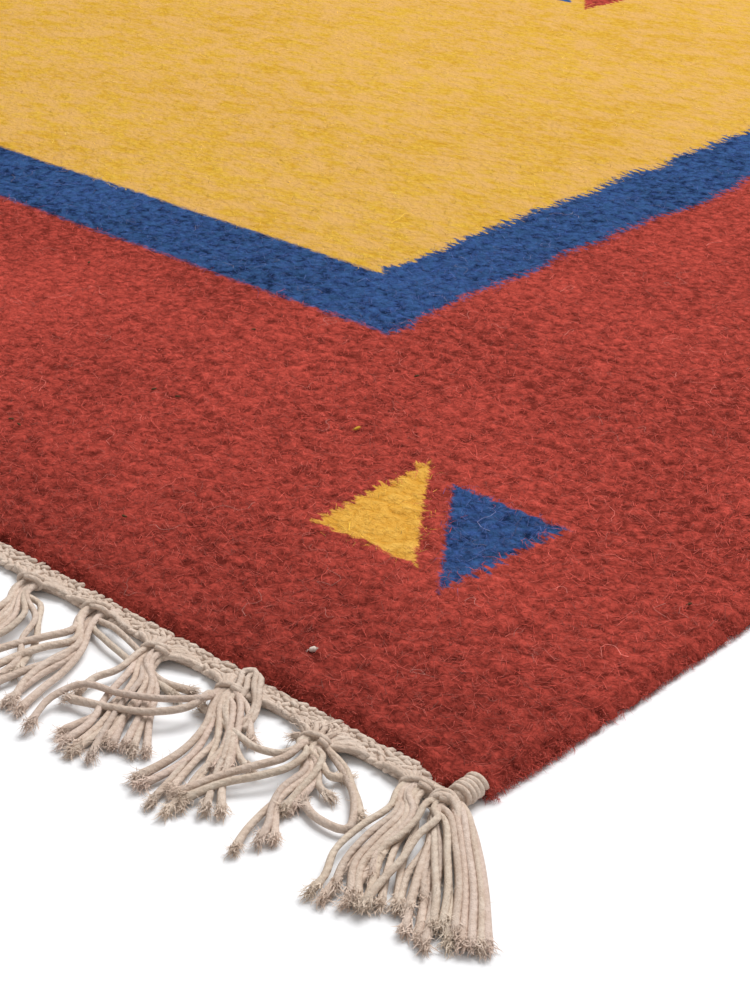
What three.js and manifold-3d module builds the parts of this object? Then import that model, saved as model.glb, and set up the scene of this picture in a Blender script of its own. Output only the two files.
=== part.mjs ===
// A flat-woven wool kilim rug lying on the floor: one woven wool ground, a cotton end band and a knotted
// cotton fringe at each end, and a whipped cord end at each corner.
// Millimetres, +Z up. X runs along the weft, Y along the warp, and the floor is z = 0.
// The far end is the near end turned half round about Z, so the rug looks the same from both ends.
import * as THREE from "three";
import { mergeVertices } from "three/addons/utils/BufferGeometryUtils.js";
import Module from "manifold-3d";

// Driving dimensions
const WIDTH = 1400; // selvedge to selvedge
const LENGTH = 2000; // the wool only, from end to end
const THICKNESS = 5;
const EDGE_RADIUS = 2.3; // the edges of the wool are nearly half round
const EDGE_STEPS = 2;
const CORNER_RADIUS = 7;
const CORNER_STEPS = 3;
const GAP = 0.3; // between neighbouring pieces

const BAND_WIDTH = 7; // the cotton end band, measured along the warp
const BAND_THICKNESS = 3.2;
const BAND_END_INSET = 18; // the band stops short of the selvedge, at the last knot but one
const SCALLOP = 2; // the band's outer edge draws back this far between two knots

const WHIPPING_DIAMETER = 8; // cotton wound round the cords of the selvedge, where they leave the wool
const WHIPPING_LENGTH = 9;
const WHIPPING_INSET = 8; // from the selvedge to the whipping's axis
const WHIPPING_SIDES = 10;

const HEADING_WIDTH = 2.4; // the twisted edge cord that runs from knot to knot
const HEADING_HEIGHT = 2.6;
const KNOT_PITCH = 31;
const KNOT_DROP = 9; // from the wool's end to a knot's centre

// Slow waves that keep the woven edges from being straight.
const END_WAVES = [
  { amplitude: 1.3, wavelength: 380, phase: 3.59 },
  { amplitude: 0.4, wavelength: 250, phase: 2.2 },
];
const SIDE_WAVES = [
  { amplitude: 1.0, wavelength: 620, phase: 4.81 },
  { amplitude: 0.8, wavelength: 310, phase: 4.91 },
];
const END_STATIONS = 28;
const SIDE_STATIONS = 26;

// The tassels next to the right-hand corner: the knot's inset from the selvedge and drop from the wool,
// then how far the tips lean towards +X, how wide they fan out and how far they reach from the knot.
const CORNER_TASSELS = [
  { inset: 8, drop: 13, lean: 33, spread: 25, reach: 42 },
  { inset: 18, drop: 9, lean: 20, spread: 26, reach: 46 },
  { inset: 52, drop: 9, lean: 17, spread: 27, reach: 46 },
  { inset: 82, drop: 9, lean: 22, spread: 28, reach: 44 },
  { inset: 114, drop: 9, lean: 23, spread: 25, reach: 43 },
  { inset: 143, drop: 9, lean: 24, spread: 22, reach: 47 },
  { inset: 170, drop: 9, lean: 23, spread: 22, reach: 45 },
];
// The last two tassels before the left-hand corner.
const LAST_TASSELS = [
  { inset: WIDTH - 18, drop: 9, lean: 16, spread: 25, reach: 45 },
  { inset: WIDTH - 8, drop: 13, lean: 14, spread: 24, reach: 42 },
];
// The tassels between repeat slowly: mean and swing of each size.
const USUAL_TASSEL = {
  lean: { mean: 19, swing: 9 },
  spread: { mean: 24, swing: 4 },
  reach: { mean: 45, swing: 3 },
};

// Sections of a tassel from its neck to its tips: the place as a share of the reach, the width as a fixed
// size plus a share of the fan, and the height.
const TASSEL_SECTIONS = [
  { along: -0.02, width: 5.6, fan: 0.0, height: 5.0 },
  { along: 0.08, width: 7.6, fan: 0.0, height: 6.4 },
  { along: 0.19, width: 5.6, fan: 0.05, height: 4.8 },
  { along: 1.0, width: 1.0, fan: 0.96, height: 3.4 },
];
const TASSEL_SIDES = 5; // one of them lies flat on the floor
const FLAT_SIDE_DEPTH = Math.cos(Math.PI / TASSEL_SIDES); // below the middle of a section of unit radius

const wasm = await Module();
wasm.setup();

const WOOL = { color: 0xa23e33, roughness: 0.95, metalness: 0 };
const COTTON = { color: 0xc8b6a4, roughness: 0.9, metalness: 0 };

function stray(waves, along) {
  return waves.reduce(
    (sum, w) => sum + w.amplitude * Math.sin((2 * Math.PI * along) / w.wavelength + w.phase),
    0,
  );
}

// How far the near end of the wool lies from the middle of the rug, at a place across its width. It runs
// straight from station to station, so that all the pieces along the end follow the same line.
function endReach(x) {
  const step = WIDTH / END_STATIONS;
  const station = Math.floor(x / step);
  const from = stray(END_WAVES, station * step);
  const to = stray(END_WAVES, (station + 1) * step);
  return LENGTH / 2 + THREE.MathUtils.lerp(from, to, x / step - station);
}
const sideReach = (y) => WIDTH / 2 + stray(SIDE_WAVES, y);

function evenly(from, to, steps) {
  return Array.from({ length: steps + 1 }, (_, i) => from + ((to - from) * i) / steps);
}

function namedMesh(name, geometry, finish) {
  const mesh = new THREE.Mesh(geometry, new THREE.MeshStandardMaterial(finish));
  mesh.name = name;
  return mesh;
}

// The points of a rounded corner whose sides lie at right and below, from its lower side to its right side.
function cornerArc(right, below) {
  return evenly(-Math.PI / 2, 0, CORNER_STEPS).map(
    (angle) => new THREE.Vector2(
      right - CORNER_RADIUS * (1 - Math.cos(angle)),
      below + CORNER_RADIUS * (1 + Math.sin(angle)),
    ),
  );
}

// The woven ground: near end, near right corner, right side and far right corner, then the same turned
// half round.
function groundGeometry() {
  const half = [];
  const endPlaces = evenly(-WIDTH / 2, WIDTH / 2, END_STATIONS).slice(1, -1);
  const sidePlaces = evenly(-LENGTH / 2, LENGTH / 2, SIDE_STATIONS).slice(1, -1);
  const farCorner = cornerArc(sideReach(LENGTH / 2), -endReach(-WIDTH / 2));
  endPlaces.forEach((x) => half.push(new THREE.Vector2(x, -endReach(x))));
  half.push(...cornerArc(sideReach(-LENGTH / 2), -endReach(WIDTH / 2)));
  sidePlaces.forEach((y) => half.push(new THREE.Vector2(sideReach(y), y)));
  half.push(...farCorner.map((p) => new THREE.Vector2(p.x, -p.y)).reverse());
  const turned = half.map((p) => new THREE.Vector2(-p.x, -p.y));
  const outline = new THREE.Shape([...half, ...turned]);
  const geometry = new THREE.ExtrudeGeometry(outline, {
    depth: THICKNESS - 2 * EDGE_RADIUS,
    bevelThickness: EDGE_RADIUS,
    bevelSize: EDGE_RADIUS,
    bevelOffset: -EDGE_RADIUS,
    bevelSegments: EDGE_STEPS,
  });
  return geometry.translate(0, 0, EDGE_RADIUS);
}

// All tassels of one end, from the right-hand corner to the left-hand one.
function tasselRow() {
  const from = CORNER_TASSELS.at(-1).inset;
  const to = LAST_TASSELS[0].inset;
  const gaps = Math.round((to - from) / KNOT_PITCH);
  const between = evenly(from, to, gaps).slice(1, -1);
  const usual = between.map((inset, i) => ({
    inset: inset + 2.5 * Math.sin(2.3 * i),
    drop: KNOT_DROP,
    lean: USUAL_TASSEL.lean.mean + USUAL_TASSEL.lean.swing * Math.sin(1.7 * i + 0.6),
    spread: USUAL_TASSEL.spread.mean + USUAL_TASSEL.spread.swing * Math.sin(2.9 * i + 1.1),
    reach: USUAL_TASSEL.reach.mean + USUAL_TASSEL.reach.swing * Math.sin(3.7 * i + 0.2),
  }));
  return [...CORNER_TASSELS, ...usual, ...LAST_TASSELS];
}

function knotPlace({ inset, drop }) {
  const x = WIDTH / 2 - inset;
  return new THREE.Vector2(x, -endReach(x) - drop);
}

// The points of a line through the knots, drawn back towards the rug between two of them.
function scallopedLine(knots, offset) {
  const line = [];
  knots.forEach((knot, i) => {
    line.push(new THREE.Vector2(knot.x, knot.y + offset));
    const next = knots[i + 1];
    if (next && Math.abs(next.x - knot.x) > KNOT_PITCH / 2) {
      const middle = knot.clone().add(next).multiplyScalar(0.5);
      line.push(new THREE.Vector2(middle.x, middle.y + SCALLOP + offset));
    }
  });
  return line;
}

function flatPiece(outline, height) {
  return new THREE.ExtrudeGeometry(new THREE.Shape(outline), { depth: height, bevelEnabled: false });
}

// The end band lies between the wool and the edge cord.
function bandGeometry(knots) {
  const limit = WIDTH / 2 - BAND_END_INSET;
  const stations = evenly(-WIDTH / 2, WIDTH / 2, END_STATIONS).filter((x) => Math.abs(x) < limit);
  const inner = [-limit, ...stations, limit].map((x) => new THREE.Vector2(x, -endReach(x) - GAP));
  const bandEnd = (x) => new THREE.Vector2(x, -endReach(x) - GAP - BAND_WIDTH);
  const scallops = scallopedLine(knots, KNOT_DROP - GAP - BAND_WIDTH);
  const outer = scallops.filter((p) => Math.abs(p.x) < limit - GAP);
  return flatPiece([...inner, bandEnd(limit), ...outer, bandEnd(-limit)].reverse(), BAND_THICKNESS);
}

function headingGeometry(knots) {
  const inner = scallopedLine(knots, HEADING_WIDTH / 2);
  const outer = scallopedLine(knots, -HEADING_WIDTH / 2).reverse();
  return flatPiece([...inner, ...outer], HEADING_HEIGHT);
}

// One tassel: a cylinder whose rings are laid out as the sections of a knot and its fan of strands.
function tasselGeometry(size) {
  const rings = TASSEL_SECTIONS.length - 1;
  const geometry = new THREE.CylinderGeometry(1, 1, 1, TASSEL_SIDES, rings);
  const knot = knotPlace(size);
  const places = geometry.attributes.position;
  for (let i = 0; i < places.count; i++) {
    const section = TASSEL_SECTIONS[Math.round((0.5 - places.getY(i)) * rings)];
    const width = section.width + section.fan * size.spread;
    const centre = knot.x + size.lean * Math.max(0, section.along);
    const rise = (places.getZ(i) + FLAT_SIDE_DEPTH) / (1 + FLAT_SIDE_DEPTH);
    const across = places.getX(i) * 0.5 * width;
    places.setXYZ(i, centre + across, knot.y - section.along * size.reach, rise * section.height);
  }
  return geometry;
}

function solidOf(geometry) {
  const bare = geometry.clone();
  bare.deleteAttribute("normal");
  bare.deleteAttribute("uv");
  const merged = mergeVertices(bare, 1e-4);
  return new wasm.Manifold(
    new wasm.Mesh({
      numProp: 3,
      vertProperties: merged.attributes.position.array,
      triVerts: new Uint32Array(merged.index.array),
    }),
  );
}

function geometryOf(solid) {
  const mesh = solid.getMesh();
  const geometry = new THREE.BufferGeometry();
  geometry.setAttribute("position", new THREE.BufferAttribute(mesh.vertProperties, 3));
  geometry.setIndex(new THREE.BufferAttribute(mesh.triVerts, 1));
  geometry.computeVertexNormals();
  return geometry;
}

// The fringe is one comb: the edge cord with every tassel joined to it.
function fringeGeometry(row, knots) {
  const heading = solidOf(headingGeometry(knots));
  const comb = row.reduce((solid, size) => solid.add(solidOf(tasselGeometry(size))), heading);
  return geometryOf(comb);
}

// A whipping lies along the warp on one of its flat sides, against the end of the selvedge.
function whippingGeometry(x) {
  const radius = WHIPPING_DIAMETER / 2;
  const apothem = radius * Math.cos(Math.PI / WHIPPING_SIDES);
  const geometry = new THREE.CylinderGeometry(
    radius, radius, WHIPPING_LENGTH, WHIPPING_SIDES, 1, false, Math.PI / WHIPPING_SIDES,
  );
  const startsAt = -Math.max(endReach(x - radius), endReach(x + radius)) - GAP;
  return geometry.translate(x, startsAt - WHIPPING_LENGTH / 2, apothem);
}

// One end of the rug: band, fringe and the whippings at its two corners.
function rugEnd(name) {
  const end = new THREE.Group();
  const row = tasselRow();
  const knots = row.map(knotPlace);
  const whippingPlace = WIDTH / 2 - WHIPPING_INSET;
  end.add(namedMesh(`end_band_${name}`, bandGeometry(knots), COTTON));
  end.add(namedMesh(`fringe_${name}`, fringeGeometry(row, knots), COTTON));
  end.add(namedMesh(`whipping_${name}_right`, whippingGeometry(whippingPlace), COTTON));
  end.add(namedMesh(`whipping_${name}_left`, whippingGeometry(-whippingPlace), COTTON));
  return end;
}

const rug = new THREE.Group();
rug.add(namedMesh("ground", groundGeometry(), WOOL));
rug.add(rugEnd("near"));
const farEnd = rugEnd("far");
farEnd.rotation.z = Math.PI;
rug.add(farEnd);

export default rug;
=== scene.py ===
"""A flat-woven wool kilim rug with a knotted cotton fringe at each end.

Laid out as an add-on and run as a script. Sizes in the code are millimetres unless a name says otherwise,
and meshes are scaled to metres when they are made. X runs along the weft, Y along the warp, Z up.
"""
import math

import bmesh
import bpy
import numpy as np
from mathutils import Matrix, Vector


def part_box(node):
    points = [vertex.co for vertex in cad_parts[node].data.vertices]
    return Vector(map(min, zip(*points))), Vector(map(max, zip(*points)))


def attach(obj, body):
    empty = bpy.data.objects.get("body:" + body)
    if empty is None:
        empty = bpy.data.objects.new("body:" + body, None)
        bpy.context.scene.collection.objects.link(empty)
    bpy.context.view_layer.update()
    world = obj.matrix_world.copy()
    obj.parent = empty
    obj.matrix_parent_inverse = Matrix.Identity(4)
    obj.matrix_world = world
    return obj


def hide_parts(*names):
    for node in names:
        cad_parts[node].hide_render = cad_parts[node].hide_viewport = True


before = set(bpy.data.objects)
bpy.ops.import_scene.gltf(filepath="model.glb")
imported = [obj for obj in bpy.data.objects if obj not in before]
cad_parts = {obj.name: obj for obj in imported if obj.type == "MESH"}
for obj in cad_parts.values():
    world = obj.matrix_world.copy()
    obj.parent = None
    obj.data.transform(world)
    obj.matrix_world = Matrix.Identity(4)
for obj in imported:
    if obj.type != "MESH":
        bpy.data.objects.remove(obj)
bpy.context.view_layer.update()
GROUND_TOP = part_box("ground")[1][2]

bl_info = {
    "name": "Kilim rug",
    "version": (1, 0, 0),
    "blender": (4, 5, 0),
    "location": "3D View > Sidebar > Kilim",
    "description": "Builds a flat-woven wool kilim rug with a knotted cotton fringe",
    "category": "Add Mesh",
}

MM = 0.001
BODY = "root"
TURN = 2.0 * math.pi
UP = np.array([0.0, 0.0, 1.0])

# Slow waves of the woven edges: amplitude, wavelength, phase.
END_WAVES = ((1.3, 380.0, 3.59), (0.4, 250.0, 2.2))
SIDE_WAVES = ((1.0, 620.0, 4.81), (0.8, 310.0, 4.91))

# The tassels beside the near right corner, laid as they lie. A knot is given from the selvedge and from
# the end of the wool, a strand by how high it lies and by its way points from the knot to its tip, and a
# loop or a frayed tail by way points with their heights.
SEEN_TASSELS = (
    {"knot": (168.6, 8.7), "strands": (
        (2.0, ((3.4, -11.0), (5.0, -25.5), (6.0, -44.0))),
        (1.6, ((7.9, -13.8), (11.6, -30.7), (13.0, -46.0))),
        (2.6, ((13.2, -17.4), (17.6, -33.9), (19.0, -47.0))),
        (3.2, ((15.3, -15.4), (17.5, -23.5), (15.9, -31.2), (14.0, -48.0))),
        (2.4, ((18.4, -13.3), (23.6, -22.3), (29.9, -28.3), (33.0, -40.0))),
        (1.2, ((11.5, -5.7), (18.3, -12.2), (25.7, -19.1), (34.0, -33.0))),
        (1.2, ((3.5, -13.2), (-2.0, -24.4), (-4.0, -45.0))),
        (1.0, ((6.0, -14.0), (9.0, -29.0), (9.0, -49.0))),
        (1.0, ((10.0, -15.0), (14.0, -31.0), (22.0, -46.0))),
    )},
    {"knot": (141.5, 6.6), "strands": (
        (3.4, ((4.6, -13.6), (1.2, -20.0), (-4.5, -35.7), (-4.0, -47.0))),
        (2.6, ((8.3, -16.1), (4.5, -22.8), (1.7, -39.9), (2.0, -49.0))),
        (1.8, ((12.0, -23.5), (9.7, -32.3), (7.7, -44.7), (7.0, -51.0))),
        (2.2, ((11.0, -17.2), (11.0, -26.3), (13.3, -37.1), (18.4, -45.7))),
        (1.4, ((13.2, -17.3), (17.4, -27.4), (18.9, -34.7), (22.2, -46.8))),
        (1.0, ((12.8, -20.6), (13.3, -31.8), (16.6, -46.7))),
        (1.4, ((13.0, -8.0), (20.0, -9.3), (36.4, -12.2), (48.9, -13.4))),
        (1.8, ((11.0, -2.4), (24.1, -5.5), (41.7, -11.5), (50.4, -8.6))),
    )},
    {"knot": (112.3, 10.2), "strands": (
        (2.2, ((-0.9, -14.0), (-2.9, -19.5), (-2.0, -26.4))),
        (2.6, ((3.8, -14.5), (7.0, -23.5), (13.7, -37.3), (13.7, -45.2))),
        (2.0, ((6.6, -14.0), (10.9, -23.3), (15.2, -33.4), (17.6, -44.1))),
        (2.8, ((8.7, -13.4), (12.2, -22.0), (17.1, -32.3), (23.9, -44.5))),
        (2.2, ((9.9, -12.3), (14.2, -20.2), (18.3, -29.2), (21.7, -37.8))),
        (2.6, ((11.8, -11.9), (16.6, -18.0), (21.1, -25.3), (26.6, -35.2))),
        (1.6, ((15.6, -13.9), (20.5, -20.2), (33.2, -33.5))),
        (1.0, ((6.7, -15.3), (10.5, -29.4), (9.0, -42.0))),
        (1.0, ((12.1, -17.2), (16.8, -31.4), (18.4, -46.5))),
        (1.0, ((18.1, -18.3), (23.7, -27.0), (30.2, -35.6))),
        (1.2, ((13.4, -15.9), (17.2, -26.5), (23.9, -37.0))),
    )},
    {"knot": (82.2, 10.4), "loops": (
        ((2.0, -1.0, 3.6), (0.4, 3.2, 4.6), (-2.4, 8.0, 5.0), (-0.4, 9.4, 5.4), (4.6, 4.6, 5.0),
         (9.2, 0.6, 4.0), (12.0, -4.0, 3.2), (12.6, -9.0, 2.4)),
        ((4.6, -1.0, 3.4), (3.4, 2.8, 4.4), (0.2, 7.6, 4.8), (2.0, 8.6, 5.2), (7.0, 4.0, 4.8),
         (11.0, -0.6, 3.8), (13.6, -5.0, 3.0), (14.6, -9.6, 2.2)),
    ), "strands": (
        (5.0, ((-0.6, -7.6), (-0.2, -13.9), (-6.9, -22.8), (-17.6, -27.5), (-31.4, -31.1))),
        (5.4, ((0.6, -9.8), (-5.1, -15.4), (-18.7, -22.9), (-30.9, -26.5), (-33.0, -33.5), (-28.3, -46.6))),
        (2.0, ((6.5, -15.4), (10.2, -26.1), (10.4, -38.5), (9.3, -42.7))),
        (1.4, ((7.4, -14.5), (13.2, -26.5), (13.8, -36.5), (12.5, -43.9))),
        (1.0, ((12.8, -17.9), (15.3, -27.4), (19.7, -40.2))),
        (1.6, ((16.6, -17.5), (19.5, -26.8), (21.3, -33.1), (26.5, -43.1))),
        (2.2, ((13.8, -13.8), (19.4, -20.7), (23.5, -27.5), (32.3, -40.1))),
        (1.8, ((16.2, -14.7), (21.8, -21.6), (26.5, -28.3), (36.1, -38.2))),
        (3.0, ((6.0, -4.8), (11.2, -10.5), (15.6, -16.7), (21.0, -26.0))),
        (3.0, ((5.6, -1.8), (11.2, -7.3), (15.4, -12.5), (24.0, -24.0))),
        (2.4, ((8.8, -2.2), (14.9, -7.2), (19.4, -11.3))),
        (1.2, ((12.0, -9.0), (19.1, -16.4), (22.8, -18.6), (28.2, -20.4))),
        (1.0, ((9.2, -18.0), (14.8, -32.2), (19.8, -47.0))),
        (1.0, ((14.5, -19.5), (21.7, -31.7), (25.6, -47.4))),
    )},
    {"knot": (48.8, 12.1), "tails": (
        ((-0.5, 0.0, 3.8), (-2.5, 3.0, 4.4), (-5.4, 6.2, 3.6)),
        ((0.5, 0.4, 3.8), (-0.6, 3.6, 4.6), (-2.4, 7.2, 3.8)),
        ((-1.5, -0.5, 3.6), (-4.6, 2.0, 4.2), (-8.0, 4.0, 3.2)),
        ((1.2, 0.6, 3.6), (2.0, 3.4, 4.4), (1.6, 6.4, 3.6)),
        ((-1.0, 0.3, 3.4), (-4.2, -0.4, 3.4), (-7.0, -1.4, 2.6)),
    ), "strands": (
        (3.6, ((-0.5, -5.1), (-1.5, -10.3), (-7.0, -12.4), (-18.7, -10.8), (-36.2, -6.9))),
        (4.6, ((0.4, -4.9), (1.1, -12.2), (-2.6, -19.3), (-7.0, -27.5), (-10.9, -39.4))),
        (4.2, ((3.3, -6.5), (4.5, -13.9), (1.1, -21.2), (-4.2, -28.5), (-8.0, -39.6))),
        (2.4, ((7.0, -11.0), (8.4, -21.5), (11.1, -27.0), (15.3, -32.7), (17.8, -38.6))),
        (1.8, ((8.8, -11.7), (9.4, -18.8), (10.6, -24.7), (15.2, -30.1), (20.1, -35.4))),
        (1.4, ((7.3, -13.1), (9.3, -20.6), (10.8, -30.2), (12.7, -37.9), (15.5, -44.5))),
        (2.6, ((6.2, -3.8), (9.3, -9.7), (11.1, -17.1), (13.5, -26.0))),
        (1.0, ((10.0, -9.4), (12.4, -16.6), (13.8, -23.4))),
        (1.8, ((5.5, -0.1), (12.9, -2.5), (19.6, -7.0), (25.4, -11.0), (29.4, -14.7))),
        (1.4, ((7.3, -0.9), (15.2, -4.8), (24.6, -11.6), (30.4, -21.1), (22.2, -22.2), (14.2, -19.6))),
        (2.0, ((7.7, -5.5), (12.6, -7.6), (15.6, -4.3))),
        (1.2, ((8.5, -7.8), (13.7, -12.5), (17.9, -13.3))),
    )},
    {"knot": (16.4, 9.4), "strands": (
        (2.6, ((1.0, -10.8), (0.9, -21.0), (2.4, -32.1), (7.5, -42.1), (8.0, -46.7))),
        (2.8, ((3.8, -12.2), (4.5, -22.8), (6.9, -33.6), (11.3, -42.0))),
        (3.0, ((5.5, -12.3), (7.1, -23.1), (9.5, -32.8), (16.5, -41.8))),
        (3.0, ((7.6, -13.1), (9.3, -23.8), (11.0, -31.9), (18.6, -41.9))),
        (3.2, ((7.3, -9.5), (10.1, -19.2), (10.1, -25.3), (15.6, -33.5))),
        (1.4, ((7.0, -10.9), (9.4, -22.1), (13.2, -33.0), (16.8, -44.1))),
        (1.0, ((4.8, -12.9), (6.0, -23.0), (7.3, -32.2), (11.6, -46.4))),
        (1.2, ((9.1, -11.8), (10.7, -18.7), (14.3, -25.7), (23.2, -39.1))),
        (1.0, ((10.1, -11.9), (14.7, -20.7), (26.0, -36.6))),
        (1.6, ((8.3, -15.3), (12.0, -26.7), (16.5, -34.1), (20.8, -41.3))),
    )},
    {"knot": (7.1, 10.6), "loops": (
        ((-3.6, -0.6, 2.0), (-2.6, 1.6, 4.6), (0.4, 2.4, 5.6), (4.6, 1.0, 5.0),
         (8.4, -3.6, 3.6), (10.4, -8.0, 2.4)),
        ((-2.8, -2.2, 2.2), (-1.6, 0.4, 4.8), (1.8, 1.0, 5.6), (6.0, -0.8, 4.8),
         (9.4, -5.6, 3.4), (11.0, -10.0, 2.2)),
    ), "strands": (
        (5.0, ((5.6, -8.0), (6.0, -14.7), (9.1, -25.5), (10.2, -33.8), (11.6, -41.5))),
        (4.0, ((-1.4, -3.2), (1.1, -11.0), (1.9, -17.4), (1.3, -23.3), (2.7, -28.3))),
        (3.2, ((8.4, -12.4), (16.1, -20.9), (22.9, -28.4), (28.2, -35.9))),
        (3.4, ((5.3, -5.4), (15.7, -16.0), (22.1, -23.2), (29.9, -34.4))),
        (3.2, ((5.1, -2.9), (13.3, -10.3), (23.3, -20.6), (33.7, -34.7))),
        (3.0, ((4.1, 0.2), (15.8, -10.6), (25.5, -21.0), (37.3, -36.1))),
        (2.8, ((4.2, 2.0), (16.8, -9.7), (26.9, -19.8), (39.0, -35.0))),
        (2.4, ((5.4, 2.5), (18.1, -8.5), (28.2, -18.5), (40.9, -33.7))),
        (1.6, ((7.5, 1.1), (19.3, -8.5), (28.9, -17.9), (42.1, -32.7))),
        (2.6, ((8.2, -13.7), (12.4, -21.7), (16.7, -29.1), (20.4, -35.4))),
        (2.2, ((9.1, -13.9), (14.3, -22.8), (20.9, -30.0))),
        (1.0, ((9.7, -12.4), (17.0, -24.5), (28.2, -40.8))),
        (1.2, ((12.6, -15.0), (22.7, -29.3), (31.0, -41.9))),
        (1.0, ((13.6, -14.1), (25.6, -26.6), (34.5, -37.7))),
        (1.0, ((10.6, -14.2), (16.0, -28.0), (24.1, -40.7))),
        (1.0, ((7.4, -13.4), (11.0, -24.8), (17.7, -35.9))),
    )},
)
# The corner where those tassels lie, seen from the middle of the rug.
SEEN_CORNER = (700.0, -1001.2)
# Knots of the last two tassels at the other corner.
LAST_TASSELS = ((1382.0, 9.0), (1392.0, 11.0))


class RugSizes(bpy.types.PropertyGroup):
    width: bpy.props.FloatProperty(
        name="Width", description="Selvedge to selvedge", default=1.4, unit="LENGTH")
    length: bpy.props.FloatProperty(
        name="Length", description="The wool from end to end", default=2.0, unit="LENGTH")
    thickness: bpy.props.FloatProperty(
        name="Thickness", description="Of the woven wool", default=GROUND_TOP, unit="LENGTH")
    end_border: bpy.props.FloatProperty(
        name="End border", description="Red, along each end", default=0.1995, unit="LENGTH")
    side_border: bpy.props.FloatProperty(
        name="Side border", description="Red, along each side", default=0.2155, unit="LENGTH")
    frame_width: bpy.props.FloatProperty(
        name="Frame", description="Width of the blue frame", default=0.0453, unit="LENGTH")
    strand: bpy.props.FloatProperty(
        name="Strand", description="Diameter of a cotton strand", default=0.00205, unit="LENGTH")
    knot_pitch: bpy.props.FloatProperty(
        name="Knot pitch", description="From tassel to tassel", default=0.031, unit="LENGTH")


class RugColours(bpy.types.PropertyGroup):
    red: bpy.props.FloatVectorProperty(
        name="Red", description="Madder red wool", default=(0.336, 0.0492, 0.0358), subtype="COLOR")
    blue: bpy.props.FloatVectorProperty(
        name="Blue", description="Indigo wool", default=(0.027, 0.057, 0.168), subtype="COLOR")
    blue_patch: bpy.props.FloatVectorProperty(
        name="Blue patch", description="Greener places in the indigo",
        default=(0.037, 0.1, 0.215), subtype="COLOR")
    yellow: bpy.props.FloatVectorProperty(
        name="Yellow", description="Warm yellow wool", default=(0.53, 0.305, 0.036), subtype="COLOR")
    yellow_patch: bpy.props.FloatVectorProperty(
        name="Yellow patch", description="Paler places in the yellow",
        default=(0.565, 0.322, 0.104), subtype="COLOR")
    golden: bpy.props.FloatVectorProperty(
        name="Golden", description="Yellow wool of the border motif",
        default=(0.63, 0.33, 0.056), subtype="COLOR")
    cotton: bpy.props.FloatVectorProperty(
        name="Cotton", description="Undyed cotton", default=(0.68, 0.56, 0.472), subtype="COLOR")
    stain: bpy.props.FloatVectorProperty(
        name="Stain", description="Darker flecks in the cotton",
        default=(0.42, 0.29, 0.21), subtype="COLOR")
    floor: bpy.props.FloatVectorProperty(
        name="Floor", description="Pale floor", default=(0.86, 0.86, 0.87), subtype="COLOR")


class RugFuzz(bpy.types.PropertyGroup):
    near: bpy.props.FloatProperty(
        name="Near", description="Wool fibres per square centimetre beside the seen corner", default=44.0)
    far: bpy.props.FloatProperty(
        name="Far", description="Wool fibres per square centimetre elsewhere", default=0.8)
    fibre: bpy.props.FloatProperty(
        name="Fibre", description="Width of a wool fibre", default=0.00016, unit="LENGTH")
    seed: bpy.props.IntProperty(name="Seed", description="Of all random draws", default=7)


class RugStage(bpy.types.PropertyGroup):
    camera: bpy.props.FloatVectorProperty(
        name="Camera", description="Where the camera stands", default=(0.95887, -1.33169, 0.30333),
        subtype="TRANSLATION")
    yaw: bpy.props.FloatProperty(
        name="Yaw", description="Of the camera", default=math.radians(132.068), subtype="ANGLE")
    pitch: bpy.props.FloatProperty(
        name="Pitch", description="Downwards", default=math.radians(27.382), subtype="ANGLE")
    roll: bpy.props.FloatProperty(
        name="Roll", description="Of the camera", default=math.radians(-0.404), subtype="ANGLE")
    lens: bpy.props.FloatProperty(name="Lens", description="Focal length in millimetres", default=73.62)
    key: bpy.props.FloatProperty(name="Key", description="Power of the key light in watts", default=62.0)
    fill: bpy.props.FloatProperty(
        name="Fill", description="Strength of the surrounding light", default=0.55)


class RugSettings(bpy.types.PropertyGroup):
    sizes: bpy.props.PointerProperty(type=RugSizes)
    colours: bpy.props.PointerProperty(type=RugColours)
    fuzz: bpy.props.PointerProperty(type=RugFuzz)
    stage: bpy.props.PointerProperty(type=RugStage)


def in_mm(metres):
    return metres / MM


def unit(vectors):
    return vectors / np.linalg.norm(vectors, axis=-1, keepdims=True)


def stray(waves, along):
    return sum(a * np.sin(TURN * along / length + phase) for a, length, phase in waves)


def end_reach(sizes, x):
    """How far the near end of the wool lies from the middle of the rug."""
    return in_mm(sizes.length) / 2 + stray(END_WAVES, x)


def hump(away, height, width):
    return height * np.exp(-(away / width) ** 2)


def tongue(x):
    """How far the wool reaches past its end beside the selvedge cord. At the corner itself it draws in."""
    inset = SEEN_CORNER[0] - np.abs(x)
    return hump(inset - 13.0, 4.5, 5.5) - hump(inset, 2.6, 6.0)


def draw_in(run):
    """How far the selvedge draws in at a distance from the end of the wool."""
    return 0.7 + hump(run, 1.9, 13.0)


def rim_out(share):
    """How far out the rounded rim stands, from the top (0) to the floor (1), as a share of its width."""
    return np.sin(math.pi * share ** 1.8)


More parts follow.
